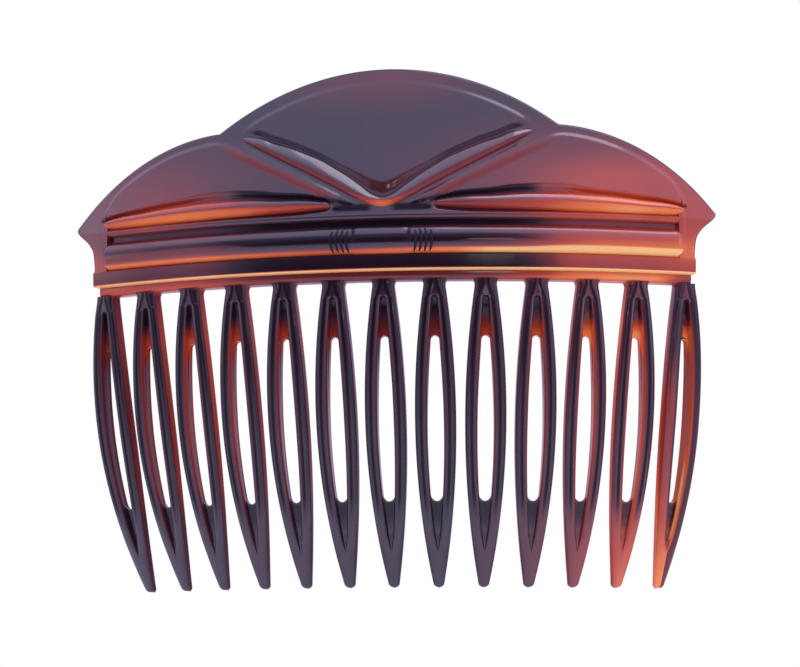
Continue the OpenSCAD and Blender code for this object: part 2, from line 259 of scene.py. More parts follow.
def make_piece(name, points, faces, nodes, glow, dull=0.5):
    """glow paints light and shade into the colour: 0 on a plain front, 1 on an edge where light coming
    through is painted, more where that painted glow is brighter still, and -1 where shade is painted.
    Painted dark places mirror little of the studio, and dull says how much less the painted bright
    edges mirror."""
    mesh = bpy.data.meshes.new(name)
    mesh.from_pydata([tuple(p) for p in points], [], faces)
    x, z = points[:, 0] / MM, points[:, 2] / MM
    glow = glow.ravel()
    # Painted light and shade: mix is where glow is painted and dark where shade is painted; the amber and
    # shine attributes carry both.
    mix, dark = np.clip(glow, 0, 1), np.clip(-glow, 0, 1)
    amber = front_amber_and_glow(x, z) * (1 - mix) + painted_glow_amber(x, z) * mix + np.maximum(glow - 1, 0)
    for layer_name, value in (("amber", amber * (1 - 0.9 * dark)),
                              ("shine", (1 - dull * mix) * (1 - 0.85 * dark))):
        layer = mesh.attributes.new(layer_name, "FLOAT", "POINT")
        layer.data.foreach_set("value", value.astype(np.float32))
    piece = bpy.data.objects.new(name, mesh)
    bpy.context.scene.collection.objects.link(piece)
    finish_piece(piece, nodes)


def finish_piece(piece, nodes):
    """Cleans the mesh, turns its faces outward, and ties the piece to the frame."""
    work = bmesh.new()
    work.from_mesh(piece.data)
    bmesh.ops.remove_doubles(work, verts=work.verts, dist=1e-7)
    bmesh.ops.dissolve_degenerate(work, edges=work.edges, dist=1e-8)
    bmesh.ops.recalc_face_normals(work, faces=work.faces)
    work.to_mesh(piece.data)
    work.free()
    piece.data.shade_smooth()
    piece.data.set_sharp_from_angle(angle=radians(40))
    piece.data.materials.append(SHELL)
    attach(piece, BODY)
    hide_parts(*nodes)


def grid_faces(rows, columns, start=0, close=False):
    """Quads between rows of points, wrapped round each row if close is set."""
    spans = columns if close else columns - 1
    return [(start + i * columns + j,
             start + i * columns + (j + 1) % columns,
             start + (i + 1) * columns + (j + 1) % columns,
             start + (i + 1) * columns + j)
            for i in range(rows - 1) for j in range(spans)]


def slab(name, s, z, front, back, nodes, glow):
    """A closed solid between two depths over a grid of pattern points. Its back is plain."""
    rows, columns = s.shape
    count = rows * columns
    points = np.concatenate([bend(s, z, front).reshape(-1, 3), bend(s, z, back).reshape(-1, 3)])
    faces = grid_faces(rows, columns)
    faces += [tuple(k + count for k in reversed(face)) for face in faces]
    border = (list(range(columns))
              + [i * columns + columns - 1 for i in range(1, rows)]
              + [(rows - 1) * columns + j for j in range(columns - 2, -1, -1)]
              + [i * columns for i in range(rows - 2, 0, -1)])
    faces += [(a, b, b + count, a + count) for a, b in zip(border, border[1:] + border[:1])]
    make_piece(name, points, faces, nodes, np.concatenate([glow, 0 * glow]))


def loft_faces(count, size, start=0):
    """Faces of a closed solid through count rings of points."""
    ends = [tuple(range(first, first + size)) for first in (start, start + (count - 1) * size)]
    return grid_faces(count, size, start, close=True) + ends


def loft(name, rings, glow):
    """A closed solid through rings of points, given as an array of ring, point, coordinate. It
    replaces the CAD node of its name."""
    count, size = rings.shape[:2]
    make_piece(name, rings.reshape(-1, 3), loft_faces(count, size), [name], glow)


def spread(count):
    """Numbers from 0 to 1, packed closer together at both ends."""
    return (1 - np.cos(np.linspace(0, pi, count))) / 2


def both_ways(half, count):
    """Numbers from -half to half, packed closer together at both ends."""
    return half * np.sin(np.linspace(-pi / 2, pi / 2, count))


def round_ends(s, half, length, power=2):
    """1 along a bead and down to nearly 0 at -half and half, round over this length at each end."""
    return np.sqrt(np.maximum(1e-3, 1 - np.maximum(0, (np.abs(s) - half + length) / length) ** power))


def bead_height(t):
    """Height of a round bead at t across it, 0 at its crown and 1 at either edge."""
    return np.clip(1 - t ** 2.1, 0, 1) ** 0.75


def bead(name, s, low, high, rise, ridge, base, glow_of, side=1, points=25, roof=0.0):
    """A rounded bead between two edges. ridge says where its crown lies, 0 at the lower edge, and
    roof how flat its upper face is. glow_of(s, t) is told how far from the crown a place is, from
    -1 at the lower edge to 1 at the upper one."""
    q, crown = spread(points)[None, :], ridge[:, None]
    t = np.where(q < crown, 1 - q / crown, (q - crown) / (1 - crown))
    height = bead_height(t)
    flat = (1 - roof) * height + roof * (1 - 0.8 * t ** 1.25)
    z = low[:, None] + (high - low)[:, None] * q
    d = base - rise[:, None] * np.where(q > crown, flat, height)
    glow = glow_of(s[:, None] + 0 * z, np.where(q < crown, -t, t))
    foot = np.full((len(s), 1), base + BEAD_SUNK)
    ring_z = np.concatenate([z, z[:, -1:], z[:, :1]], axis=1)
    ring_d = np.concatenate([d, foot, foot], axis=1)
    glow = np.concatenate([glow, glow[:, -1:], glow[:, :1]], axis=1)
    ring_s = side * s[:, None] + 0 * ring_z
    loft(name, bend(ring_s, ring_z, ring_d), glow)


# ---- Material ----

AMBER_STEPS = [
    (0.00, (0.010, 0.005, 0.009)),
    (0.15, (0.035, 0.012, 0.018)),
    (0.40, (0.180, 0.020, 0.018)),
    (0.65, (0.480, 0.050, 0.015)),
    (0.85, (0.860, 0.180, 0.030)),
    (1.00, (1.000, 0.500, 0.150)),
]


class Nodes:
    """Short ways to add and join the nodes of one material or world."""

    def __init__(self, tree):
        self.tree = tree

    def add(self, kind, **values):
        node = self.tree.nodes.new("ShaderNode" + kind)
        for key, value in values.items():
            setattr(node, key, value)
        return node

    def link(self, source, target):
        self.tree.links.new(source, target)

    def math(self, operation, *inputs):
        node = self.add("Math", operation=operation)
        for socket, value in zip(node.inputs, inputs):
            if isinstance(value, (int, float)):
                socket.default_value = value
            else:
                self.link(value, socket)
        return node.outputs[0]

    def noise(self, vector, scale, detail=3.0, roughness=0.5, distortion=0.0):
        node = self.add("TexNoise")
        self.link(vector, node.inputs["Vector"])
        for name, value in (("Scale", scale), ("Detail", detail), ("Roughness", roughness),
                            ("Distortion", distortion)):
            node.inputs[name].default_value = value
        return node.outputs["Fac"]

    def ramp(self, factor, steps):
        node = self.add("ValToRGB")
        elements = node.color_ramp.elements
        while len(elements) < len(steps):
            elements.new(0.5)
        for element, (place, colour) in zip(elements, steps):
            element.position = place
            element.color = (*colour, 1)
        self.link(factor, node.inputs["Fac"])
        return node.outputs["Color"]


def tortoiseshell():
    """Dark plum plastic, mottled, that turns red and then amber where the amber attribute paints
    light coming through, and near black where it paints shade.
    """
    material = bpy.data.materials.new("tortoiseshell")
    material.use_nodes = True
    nodes = Nodes(material.node_tree)
    shader = material.node_tree.nodes["Principled BSDF"]
    place = nodes.add("TexCoord").outputs["Object"]
    # The amber attribute carries painted glow and painted shade as well as the plastic's own tone.
    amber = nodes.add("Attribute", attribute_name="amber").outputs["Fac"]
    clouds = nodes.noise(place, 45, detail=2, distortion=1.2)
    streaks = nodes.noise(place, 220, detail=4, roughness=0.6)
    mottle = nodes.math("ADD", nodes.math("MULTIPLY", nodes.math("SUBTRACT", clouds, 0.5), 0.30),
                        nodes.math("MULTIPLY", nodes.math("SUBTRACT", streaks, 0.5), 0.10))
    mottled = nodes.math("MULTIPLY", amber, nodes.math("ADD", mottle, 1.0))
    nodes.link(nodes.ramp(mottled, AMBER_STEPS), shader.inputs["Base Color"])
    haze = nodes.noise(place, 900, detail=3)
    nodes.link(nodes.math("MULTIPLY_ADD", haze, 0.10, 0.12), shader.inputs["Roughness"])
    bump = nodes.add("Bump")
    bump.inputs["Strength"].default_value = 0.06
    bump.inputs["Distance"].default_value = 0.0004
    nodes.link(nodes.noise(place, 140, detail=2), bump.inputs["Height"])
    nodes.link(bump.outputs["Normal"], shader.inputs["Normal"])
    shader.inputs["IOR"].default_value = 1.5
    # The shine attribute takes gloss away where glow and shade are painted.
    shine = nodes.add("Attribute", attribute_name="shine").outputs["Fac"]
    nodes.link(nodes.math("MULTIPLY", shine, 0.5), shader.inputs["Specular IOR Level"])
    nodes.link(nodes.math("MULTIPLY", shine, 0.3), shader.inputs["Coat Weight"])
    shader.inputs["Coat Roughness"].default_value = 0.05
    return material


SHELL = tortoiseshell()


# ---- Crest ----

# Edges of the raised beads, and of the valleys over the leaves, as heights along the bar
CHEVRON_LOW = through([(0, 8.5), (1, 8.65), (2.8, 9.35), (6.4, 11.3), (10.8, 13.7), (16, 16.5),
                       (19.5, 18.45), (20.8, 19.3), (21.3, 19.7)])
CHEVRON_HIGH = through([(0, 10.3), (1, 10.6), (2.8, 11.8), (6.4, 14.3), (10.8, 16.75), (16, 18.85),
                        (19, 19.9), (20.6, 20.05), (21.3, 19.75)])
CHEVRON_HALF = 21.25
LEAF_IN, LEAF_OUT = 6.6, 41.4
LEAF_LOW = through([(6.6, 8.85), (8, 8.6), (14.6, 8.25), (23, 8.05), (29, 7.95), (36, 7.9),
                    (40, 7.95), (41.4, 8.3)])
LEAF_HIGH = through([(6.6, 8.95), (8, 9.75), (14.6, 10.3), (23, 10.7), (29, 10.5), (36, 9.95),
                     (40, 9.6), (41.4, 9.2)])
VALLEY_HIGH = through([(6.6, 9.5), (8, 10.2), (9.5, 10.6), (14.6, 11.2), (19, 11.8), (23.5, 11.95),
                       (29, 11.35), (36, 10.6), (41.4, 9.8)])

# The line of a rib's lower side, and the rises and widths of the relief
RIB_LOW = np.array([6.5, 9.9])
RIB_HIGH = np.array([23.4, 18.3])
RIB_WAY = (RIB_HIGH - RIB_LOW) / np.linalg.norm(RIB_HIGH - RIB_LOW)
RIB_RISE = 0.2
RIM_W = 1.6
LOBE_RIM_W = 1.05
PILLOW = 0.24
VALLEY = 0.5
EDGE_W = 0.9
CREST_BASE = 0.4
CREST_BEAD_RISE = 1.15
THIN_END = 0.04


def rib_distance(s, z):
    """Distance into the side panel from the middle of the slope down from the rib."""
    return (s - RIB_LOW[0]) * RIB_WAY[1] - (z - RIB_LOW[1]) * RIB_WAY[0]


def centre_panel(s, z):
    """Rise of the centre panel. It stands up at the rim and curls down to the chevron."""
    s = np.abs(s)
    rim = DOME_R - RIM_W - np.hypot(s, z - DOME_Z)
    clear = z - CHEVRON_HIGH(s)
    width = 0.9 + 1.4 * np.exp(-(s / 4.2) ** 2)
    top = PILLOW * (0.15 + 0.85 * smooth(s / 17)) * smooth(rim / EDGE_W)
    top = top * smooth((CHEVRON_HALF + 0.3 - s) / 3)
    curl = (1 - smooth(clear / width)) * smooth((CHEVRON_HALF + 0.2 - s) / 5)
    deep = VALLEY * (0.3 + 0.7 * np.exp(-(s / 7) ** 2))
    return smooth((clear + 0.5) / 0.3) * (top * (1 - curl) - deep * curl)


def side_panel(s, z):
    """Rise of a side panel and of the rib above it, which runs from the notch to the bar."""
    s = np.abs(s)
    rim = LOBE_R - LOBE_RIM_W - np.hypot(s - LOBE_S, z - LOBE_Z)
    border = blend_min(rim, STILE_IN + 0.9 - s, 2.5)
    inner = rib_distance(s, z)
    clear = z - LEAF_HIGH(s)
    width = np.maximum(VALLEY_HIGH(s) - LEAF_HIGH(s), 0.4)
    curl = (1 - smooth(clear / width)) * smooth((s - LEAF_IN + 0.5) / 2) * smooth(inner / 0.6 + 0.8)
    panel = PILLOW * smooth(border / EDGE_W) * (1 - curl) - VALLEY * curl * smooth(border / 0.8)
    panel = panel * smooth(0.9 + inner / 1.1) * smooth((s - 5.4) / 1.5)
    rib = (1 - smooth(0.5 + inner / 1.1)) * smooth((CHEVRON_LOW(s) - z - 0.1) / 0.8)
    rib = rib * smooth((CHEVRON_HALF + 0.6 - s) / 3.5) * smooth((z - 8.8) / 0.7) * smooth((s - 3.2) / 1.2)
    below = smooth((z - LEAF_LOW(s) + 0.6) / 0.5)
    return panel * below + RIB_RISE * rib


def crest_glow(s, z, slope):
    """Painted shade on slopes that face down, but for the red steps down from the ribs and the valleys
    over the leaves, where glow of light coming through is painted towards the comb's ends. The
    recess under the chevron is painted with shade too."""
    right, s = smooth(s / 4), np.abs(s)
    step = smooth((0.85 - np.abs(rib_distance(s, z))) / 0.4) * smooth((z - 9.9) / 0.8)
    step = step * smooth((24.5 - s) / 3)
    over = (z - LEAF_HIGH(s)) / np.maximum(VALLEY_HIGH(s) - LEAF_HIGH(s), 0.1)
    inside = smooth((over + 0.1) / 0.2) * smooth((1.15 - over) / 0.35)
    inside = inside * smooth((42 - s) / 0.8)
    valley = inside * ((1 - right) * smooth((s - 19) / 6) * 0.6 + right * smooth((s - 19) / 5) * 0.5)
    middle = smooth((z - CHEVRON_HIGH(s)) / 0.2)
    plain = smooth((slope - 0.05) / 0.3) * (-0.85 + (0.35 + 0.75 * smooth((10 - s) / 6)) * middle)
    recess = smooth((7.2 - s) / 1.4) * smooth((9.3 - z) / 0.45) * smooth((s - 0.8) / 1.4)
    recess = recess * smooth((z - 7.95) / 0.25)
    glow = plain * (1 - inside * smooth((s - 19) / 5)) + valley
    glow = glow * (1 - step) + 0.78 * step
    return glow * (1 - recess) - recess


def make_crest():
    """The plate with its rim, ribs and three panels, as one grid of fine columns."""
    s = np.linspace(-EAR_S + 0.02, EAR_S - 0.02, 561)
    s = np.sort(np.concatenate([s, [-NOTCH_S, NOTCH_S]]))
    up = 1 - (1 - np.linspace(0, 1, 171)) ** 1.25
    foot = np.where(np.abs(s) > STILE_IN - 0.01, STILE_TOP, BAR_H)
    foot = np.minimum(foot, outline(s) - 0.05)
    grid_s = np.repeat(s[:, None], len(up), axis=1)
    grid_z = foot[:, None] + (outline(s) - foot)[:, None] * up
    edge = edge_distance(grid_s, grid_z)
    rise = centre_panel(grid_s, grid_z) + side_panel(grid_s, grid_z)
    front = 0.45 * (1 - quarter(edge / 0.45)) - rise
    back = PLATE_BACK - 0.5 * (1 - quarter(edge / 0.5))
    slope = np.gradient(rise, axis=1) / np.gradient(grid_z, axis=1)
    # The crest's top edge is painted dark.
    brink = 0.85 * smooth((0.42 - edge) / 0.25)
    glow = crest_glow(grid_s, grid_z, slope) * (1 - brink) - brink
    slab("crest", grid_s, grid_z, front, back,
         ["crest_plate", "crest_rim", "left_rib", "right_rib",
          "centre_panel", "left_panel", "right_panel"], glow)


def make_stile(side, name):
    """Upright at the end of the bar, with the pointed ear at its top."""
    z = np.concatenate([np.linspace(FLANGE_H, EAR_Z, 60), np.linspace(EAR_Z, STILE_TOP, 14)[1:]])
    scoop = smooth((z - WAIST_Z + 1.2) / (EAR_Z - WAIST_Z + 1.2)) ** 1.6
    lower = BAR_HALF + WAIST_FLARE * np.clip((z - FLANGE_H) / (WAIST_Z - FLANGE_H), 0, 1) ** 2
    lobe = LOBE_S + np.sqrt(LOBE_R ** 2 - (z - LOBE_Z) ** 2)
    outer = np.where(z > EAR_Z, lobe, lower + (EAR_S - BAR_HALF - WAIST_FLARE) * scoop)
    inner = STILE_IN - 0.6
    out = spread(26)
    grid_z = np.repeat(z[:, None], len(out), axis=1)
    grid_s = inner + (outer[:, None] - inner) * out
    edge = outer[:, None] - grid_s
    front = 0.4 * (1 - quarter(edge / 0.45)) - 0.004
    thick = np.where(grid_z > BAR_H, PLATE_BACK, BAR_D)
    back = thick - 0.4 * (1 - quarter(edge / 0.5))
    # A painted highlight line runs up the inner edge, and the outer edge is painted dark.
    line = np.exp(-((grid_s - STILE_IN - 0.15) / 0.2) ** 2) * smooth((grid_z - 2.5) / 1.5)
    line = line * smooth((9.5 - grid_z) / 0.8)
    glow = 0.5 * line - 0.75 * smooth(1 - edge / 0.4)
    slab(name, side * grid_s, grid_z, front, back, [name], glow)


make_crest()
make_stile(-1, "left_stile")
make_stile(1, "right_stile")


# ---- Bar ----

def bar_section(name, profile, half_l, fade=0.0):
    """A length of the bar whose section is a closed list of height, depth and painted glow. Its
    painted shade fades towards the comb's ends."""
    s = np.linspace(-half_l, half_l, 160)[:, None]
    z, d, glow = np.array(profile, float).T
    rings = bend(s + 0 * z, z + 0 * s, d + 0 * s)
    faded = 1 - fade * (smooth((s - 17) / 9) + 0.7 * smooth((-s - 14) / 10))
    loft(name, rings, np.where(glow < 0, glow * faded, glow + 0 * s))


def make_lip():
    """The front of the flange, with the bevel whose lower edge stops against the hair."""
    # The bevel at the bottom is painted glowing, and the front above it is painted dark.
    profile = ([(0, LIP_D, 1), (0, 0.30, 1), (0.03, 0.18, 1), (0.10, 0.09, 1), (0.20, 0.04, 0.8),
                (0.32, 0.02, -0.8)]
               + [(0.32 + (FLANGE_H - 0.37) * k, 0.02 - 0.10 * k, -1.0 + 0.35 * k)
                  for k in np.linspace(0.1, 1, 9)]
               + [(FLANGE_H, 0.0, -0.8), (FLANGE_H + 0.3, 0.3, -0.8), (FLANGE_H + 0.3, LIP_D, 0)])
    bar_section("hair_stop_lip", profile, BAR_HALF, fade=0.85)


def make_flange():
    """The rest of the flange behind the lip, with a rounded lower back edge."""
    r = 0.5
    # Painted glow along the lower front edge and on the rounded back edge.
    profile = ([(0, LIP_D - 0.05, 1), (FLANGE_H, LIP_D - 0.05, 0), (FLANGE_H, BAR_D, 0), (r, BAR_D, 0)]
               + [(r - r * sin(radians(a)), BAR_D - r + r * cos(radians(a)), 0.5)
                  for a in np.linspace(15, 90, 6)])
    bar_section("bar_flange", profile, BAR_HALF)


def make_web():
    """The bar's front between the beads, which is painted with shade, and its thicker back."""
    profile = ([(FLANGE_H - 0.1, 0.75, -1), (BAR_H + 0.3, 0.75, -1), (BAR_H + 0.3, PLATE_BACK, 0)]
               + [(BAR_H - 1.2 * k, PLATE_BACK + (BAR_D - PLATE_BACK) * quarter(k), 0)
                  for k in np.linspace(0, 1, 10)]
               + [(FLANGE_H - 0.1, BAR_D, 0)])
    bar_section("bar_web", profile, STILE_IN - 0.3, fade=0.75)


make_lip()
make_flange()
make_web()


# ---- Chevron and leaves ----

def make_chevron():
    """The V-shaped bead, with painted glow along its lower face."""
    s = both_ways(CHEVRON_HALF, 161)
    low, high = CHEVRON_LOW(np.abs(s)), CHEVRON_HIGH(np.abs(s))
    high = np.maximum(high, low + THIN_END)
    ridge = 0.42 + 0.18 * np.exp(-(s / 1.6) ** 2)
    rise = np.minimum(CREST_BEAD_RISE, 0.55 * (high - low))

    def glow(s, t):
        return np.where(t < 0, 0.86 + 0.14 * np.exp(-(s / 2.2) ** 2), 0) * smooth((-t + 0.02) / 0.2)

    bead("centre_chevron", s, low, high, rise, ridge, CREST_BASE, glow, roof=0.85)


def make_leaf(side, name):
    """A leaf-shaped bead, with painted glow underneath, and on top towards the comb's end."""
    s = LEAF_IN + (LEAF_OUT - LEAF_IN) * spread(121)
    low, high = LEAF_LOW(s), np.maximum(LEAF_HIGH(s), LEAF_LOW(s) + THIN_END)
    rise = np.minimum(CREST_BEAD_RISE, 0.6 * (high - low))
    # Painted glow on top towards the comb's end.
    end_glow = smooth((s - 12) / 12) if side < 0 else smooth((s - 18) / 10)

    def glow(s, t):
        under = smooth((-t + 0.02) / 0.2) * (1.08 if side < 0 else 1.0)
        return np.where(t < 0, under, 0) + 0.75 * end_glow[:, None] * smooth(t / 0.2)

    bead(name, s, low, high, rise, 0.5 + 0 * s, CREST_BASE, glow, side=side)


make_chevron()
make_leaf(-1, "left_leaf")
make_leaf(1, "right_leaf")


# ---- Beads along the bar, with the sleeve and claws on them ----

BEAD_MID, BEAD_HALF_W = 4.05, 2.1
BEAD_RISE = 1.2
BEAD_BASE = 0.75
SLEEVE_HALF = 4.0
UPPER_LOW, UPPER_HIGH = 6.85, 8.0
CLAW_STARTS = (4.45, 5.15, 5.85, 6.55)
CLAW_HALF_W = 0.19
CLAW_RISE = 0.16


def bead_glow(s, t):
    """The bar's bead has painted glow in a band under its crown, and a painted dark line along the
    crown.
    """
    start = 0.40 + 0.05 * smooth((6 - s) / 12) - 0.10 * smooth((s - 18) / 8)
    band = smooth((-t - start) / 0.2)
    under = -0.02 - 0.24 * smooth((22 - np.abs(s)) / 6) * (1 - np.exp(-((s - 15) / 4.5) ** 4))
    line = smooth((0.36 - t) / 0.08) * smooth((t - under) / 0.08)
    line = line * (0.9 - 0.75 * smooth((s - 16) / 8) - 0.35 * smooth((-s - 20) / 8))
    # Painted glow towards the right end, over all but the bead's upper edge.
    end_glow = 0.25 * smooth((s - 20) / 10) * smooth((0.5 - t) / 0.4)
    return band + end_glow * (1 - band) - line


def make_bar_bead():
    """The half-round bead along the bar, which narrows to a round end at each upright."""
    s = both_ways(STILE_IN + 0.2, 221)
    end = round_ends(s, STILE_IN + 0.2, 1.3)
    half_w = BEAD_HALF_W * (0.8 + 0.2 * end)
    bead("bar_bead", s, BEAD_MID - half_w, BEAD_MID + half_w, 0.15 + BEAD_RISE * end, 0.5 + 0 * s,
         BEAD_BASE, bead_glow, points=41)


def make_sleeve():
    """A smooth swelling of the bead in the middle of the bar, with an outline of painted shade."""
    s = both_ways(SLEEVE_HALF, 61)
    end = round_ends(s, SLEEVE_HALF, SLEEVE_HALF, power=5)
    half_w = BEAD_HALF_W + 0.10 * end

    def glow(s, t):
        rim = np.maximum(smooth((np.abs(s) - 3.35) / 0.3) * smooth((t + 0.25) / 0.15),
                         smooth((t - 0.72) / 0.12))
        return bead_glow(s, t) * (1 - rim) - 0.95 * rim

    bead("centre_sleeve", s, BEAD_MID - half_w, BEAD_MID + half_w, BEAD_RISE + 0.10 + 0.24 * end,
         0.5 + 0 * s, BEAD_BASE, glow, points=61)


def make_upper_bead():
    """The narrow bead along the top of the bar."""
    s = both_ways(STILE_IN + 0.1, 161)
    end = round_ends(s, STILE_IN + 0.1, 1.2)

    # Painted glow towards both ends of the bead.
    def glow(s, t):
        return smooth((np.abs(s + 4) - 18) / 12) * 0.4 + 0 * t

    bead("upper_bead", s, UPPER_LOW + 0 * s, UPPER_HIGH + 0 * s, 0.05 + 0.45 * end, 0.5 + 0 * s, 0.45,
         glow, points=15)


def make_claws(side, name):
    """Four curved ridges that grip the bead beside the sleeve, as one piece."""
    rings, size = 31, 10
    a = np.linspace(0, 2 * pi, size + 1)[:-1]
    thin = np.sqrt(np.maximum(1e-3, 1 - np.abs(np.linspace(-1, 1, rings)) ** 4))[:, None]
    points, faces = [], []
    for number, start in enumerate(CLAW_STARTS):
        longer = number in (1, 2)
        t = np.linspace(-0.80, 0.72 if longer else 0.62, rings)[:, None]
        s = start + 0.5 * (1 - t ** 2) - 0.25 + CLAW_HALF_W * thin * np.cos(a)
        d = BEAD_BASE - (BEAD_RISE + 0.15) * bead_height(np.abs(t)) - CLAW_RISE * thin * np.sin(a)
        points.append(bend(side * s, BEAD_MID + BEAD_HALF_W * t + 0 * s, d).reshape(-1, 3))
        faces += loft_faces(rings, size, number * rings * size)
    points = np.concatenate(points)
    # The claws are painted dark all over, and mirror little.
    make_piece(name, points, faces, [name], np.full(len(points), -0.9))


make_bar_bead()
make_sleeve()
make_upper_bead()
make_claws(-1, "left_claws")
make_claws(1, "right_claws")


# ---- Teeth ----

RAIL_H = 1.2
RAIL_FRONT, RAIL_BACK = LIP_D + 0.1, 3.6
TOOTH_COUNT = 13
TOOTH_PITCH = radians(4.06)
TOOTH_MID = (RAIL_FRONT + RAIL_BACK) / 2

# A tooth's widths and thicknesses
TOOTH_HALF_W = 2.76
ROOT_HALF_W = 1.2
SLOT_HALF_W = 1.1
TOOTH_T = 2.3
TIP_R = 0.85
WEB_D = 1.1
ROOT_FILLET, END_ROOT_FILLET = 0.55, 0.1
BEVEL_ANGLES = (0.5, 0.85, 1.2, pi / 2)

# Places along a tooth, as depths below the lip. The groove holds the slot and the webs at its ends.
TOOTH_L = 41.6
WIDEST_H = 19.5
SLOT_MID = 21.0
SLOT_TOP, SLOT_END = 8.5, 30.3
GROOVE_TOP, GROOVE_END = 3.3, 37.2

# The last tooth on the right is twisted by this much, all of it above this place
END_TOOTH_TURN = radians(13)
TWIST_H = 20.0

# Where the points of a tooth's half section are, counted from the slot round the front
LAST_GROOVE_POINT, LAST_FRONT_POINT, LAST_SIDE_POINT = 6, 13, 16


def make_rail():
    """The strip under the bar that the teeth spring from."""
    # Painted glow, faint on the front and full along the underside.
    profile = [(0.2, RAIL_FRONT, 0.2), (-0.5, RAIL_FRONT, 0.3), (-0.85, RAIL_FRONT + 0.06, 0.7),
               (-RAIL_H + 0.08, RAIL_FRONT + 0.25, 1), (-RAIL_H, RAIL_FRONT + 0.45, 1),
               (-RAIL_H, RAIL_BACK - 0.35, 1), (-0.85, RAIL_BACK, 0.5), (0.2, RAIL_BACK, 0)]
    bar_section("tooth_rail", profile, BAR_HALF - 0.15)


def tooth_half_w(h):
    """Half-width over both legs: it swells to the middle and tapers to a round tip."""
    up = TOOTH_HALF_W - (TOOTH_HALF_W - ROOT_HALF_W) * ((WIDEST_H - h) / WIDEST_H) ** 2
    down = TOOTH_HALF_W - 2.12 * (np.maximum(h - WIDEST_H, 0) / (TOOTH_L - WIDEST_H)) ** 2.08
    tip = np.clip((h - (TOOTH_L - TIP_R)) / TIP_R, 0, 1)
    rounded = np.where(tip > 0, TIP_R * np.sqrt(1 - tip ** 2), TOOTH_HALF_W)
    return np.minimum(np.where(h < WIDEST_H, up, down), rounded)


def round_end(width, room, length):
    """Closes a gap with a round end of this length, given the room left before its end."""
    return width * quarter(room / length)


def groove_w(h):
    """Half-width between the legs at the front, over the web as well as the slot."""
    up = np.clip((SLOT_MID - h) / (SLOT_MID - GROOVE_TOP), 0, 1)
    down = np.clip((h - SLOT_MID) / (GROOVE_END - SLOT_MID), 0, 1)
    width = SLOT_HALF_W * np.where(h < SLOT_MID, 1 - 0.75 * up ** 2, 1 - down ** 2.1)
    return round_end(width, h - GROOVE_TOP, 0.4)


def slot_w(h):
    """Half-width of the hole through the tooth, round at both ends."""
    width = groove_w(h) - 0.16 * np.clip((SLOT_MID - h) / (SLOT_MID - SLOT_TOP), 0, 1)
    return round_end(round_end(width, h - SLOT_TOP, 0.5), SLOT_END - h, 0.9)


def tooth_thick(h):
    """Thickness from front to back, less towards the tip."""
    return TOOTH_T - 1.1 * (np.maximum(h - SLOT_MID, 0) / (TOOTH_L - SLOT_MID)) ** 1.5


def tooth_centre(h):
    """How far back a tooth's middle lies, on its curve towards the head."""
    return TOOTH_MID + TOOTH_CURVE_R - np.sqrt(TOOTH_CURVE_R ** 2 - h ** 2)


def tooth_twist(h):
    """How far the last tooth is turned about its own middle line."""
    return END_TOOTH_TURN * smooth(h / TWIST_H)


def tooth_half(h, fillet):
    """Points round half a tooth's section at each h, from the slot over the front and back to the
    slot, as place across, depth and painted glow."""
    w = tooth_half_w(h) + fillet * (1 - quarter((h - RAIL_H + 0.1) / 0.9))
    groove, hole, t = groove_w(h), slot_w(h), tooth_thick(h)
    zero = 0 * h
    leg = w - groove
    open_front = np.clip(groove / 0.3, 0, 1)
    open_back = np.clip(hole / 0.3, 0, 1)
    closing = np.where(h < SLOT_MID, 1 - smooth((h - 1.2) / 2.4), 1 - open_front)
    ridge = groove + leg * (0.48 - 0.30 * closing)
    flat = 0.17 * leg
    floor = np.minimum(WEB_D, 3.0 * groove) * t / TOOTH_T
    inner_drop = np.minimum(0.5 * open_front, 0.8 * floor)
    outer_drop = np.minimum(0.55, 0.8 * w) * t / TOOTH_T

    # Painted glow and shade: the webs are painted dark near the root and by the slot's lower end and glow
    # in between, the leg fronts are painted dark down to near the tip, the inner walls, sides and the
    # slot's walls glow, and the back's outer corners are painted dark.
    web = 0.15 + 0.95 * smooth((13 - h) / 4) * smooth((h - 4.8) / 3.4) - 0.7 * smooth((6.6 - h) / 2.6)
    web = web - 0.75 * smooth((h - SLOT_END + 0.3) / 0.6) * smooth((35 - h) / 3)
    web = web * open_front
    front = -0.95 * smooth((34 - h) / 5)
    inner = smooth((h - 5.5) / 2) * open_front

    points = [(hole, floor, web), (np.maximum(groove - 0.05, hole), floor, web)]
    points += [(ridge - flat - (ridge - flat - groove) * sin(a), inner_drop * (1 - cos(a)),
                sin(a) ** 1.5 * inner) for a in reversed(BEVEL_ANGLES)]
    points += [(ridge - flat, zero, 0.3 * front), (ridge - 0.4 * flat, zero - 0.02, front),
               (ridge + 0.5 * flat, zero - 0.02, front), (ridge + flat, zero, 0.3 * front)]
    points += [(ridge + flat + (w - ridge - flat) * sin(a), outer_drop * (1 - cos(a)),
                0.9 * sin(a) ** 3 + 0.9 * front * sin(2 * a) ** 2) for a in BEVEL_ANGLES]
    points += [(w, t * 0.62, 1 + zero), (w - 0.03, t - 0.45, 1 + zero),
               (w * 0.96 - 0.1, t - 0.18, zero - 0.4), (w * 0.93 - 0.25, t - 0.03, zero - 0.6),
               (np.maximum((w + hole) / 2, hole), t + zero, zero),
               (hole + np.minimum(0.25, hole * 0.5), t + zero, -open_back),
               (hole, t - np.minimum(0.2, hole * 0.5), 0.9 * open_back),
               (hole, t - np.minimum(0.5, hole * 0.8), open_back)]
    return points


